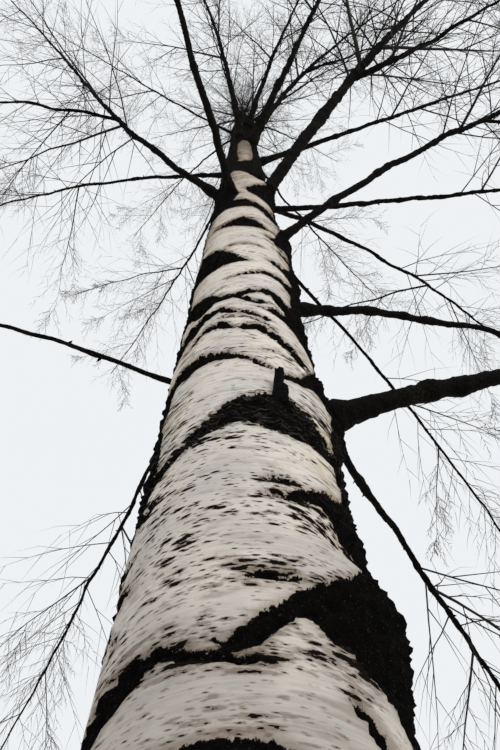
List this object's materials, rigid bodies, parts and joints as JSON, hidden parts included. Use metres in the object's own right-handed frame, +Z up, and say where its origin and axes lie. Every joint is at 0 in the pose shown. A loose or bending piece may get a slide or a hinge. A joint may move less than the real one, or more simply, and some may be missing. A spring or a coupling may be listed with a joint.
{
  "type": "birch tree",
  "caption": "Whole birch tree in winter, bare of leaves: a tall tapering white trunk with black bands and scars, dark boughs all round it and sprays of fine twigs up to the leader.",
  "frame": {"origin": "middle of the flat cut under the trunk, at ground level", "axes": "+Z up along the trunk, -Y the side that faces the camera of the picture, +X to its right"},
  "size_m": [5.8327, 5.3644, 14.034],
  "materials": {
    "white_bark": "pale grey papery bark with black bands, scars and fine level dashes",
    "dark_bark": "dull dark brown-grey bark with paler dots",
    "dead_wood": "weathered near-black dead wood",
    "twigs": "slightly shiny dark red-brown twig bark"
  },
  "bodies": {
    "root": {"back_left_bough": "dark_bark", "back_left_spray": "twigs", "back_right_bough": "dark_bark", "back_right_spray": "twigs", "broken_snag": "dead_wood", "forked_right_bough": "dark_bark", "forked_right_spray": "twigs", "front_left_bough": "dark_bark", "front_left_spray": "twigs", "great_right_bough": "dark_bark", "great_right_spray": "twigs", "high_front_bough": "dark_bark", "high_front_right_bough": "dark_bark", "high_front_right_spray": "twigs", "high_front_spray": "twigs", "high_left_bough": "dark_bark", "high_left_spray": "twigs", "high_right_bough": "dark_bark", "high_right_spray": "twigs", "leader_spray": "twigs", "level_right_bough": "dark_bark", "level_right_spray": "twigs", "long_left_bough": "dark_bark", "long_left_spray": "twigs", "low_left_bough": "dark_bark", "low_left_spray": "twigs", "low_right_bough": "dark_bark", "low_right_spray": "twigs", "middle_bough_1": "dark_bark", "middle_bough_2": "dark_bark", "middle_bough_3": "dark_bark", "middle_bough_4": "dark_bark", "middle_bough_5": "dark_bark", "middle_bough_6": "dark_bark", "middle_right_bough": "dark_bark", "middle_right_spray": "twigs", "middle_spray_1": "twigs", "middle_spray_2": "twigs", "middle_spray_3": "twigs", "middle_spray_4": "twigs", "middle_spray_5": "twigs", "middle_spray_6": "twigs", "spreading_right_bough": "dark_bark", "spreading_right_spray": "twigs", "thin_back_bough": "dark_bark", "thin_back_spray": "twigs", "trunk": "white_bark", "upper_spray_1": "twigs", "upper_spray_10": "twigs", "upper_spray_11": "twigs", "upper_spray_12": "twigs", "upper_spray_2": "twigs", "upper_spray_3": "twigs", "upper_spray_4": "twigs", "upper_spray_5": "twigs", "upper_spray_6": "twigs", "upper_spray_7": "twigs", "upper_spray_8": "twigs", "upper_spray_9": "twigs"}
  },
  "joints": []
}
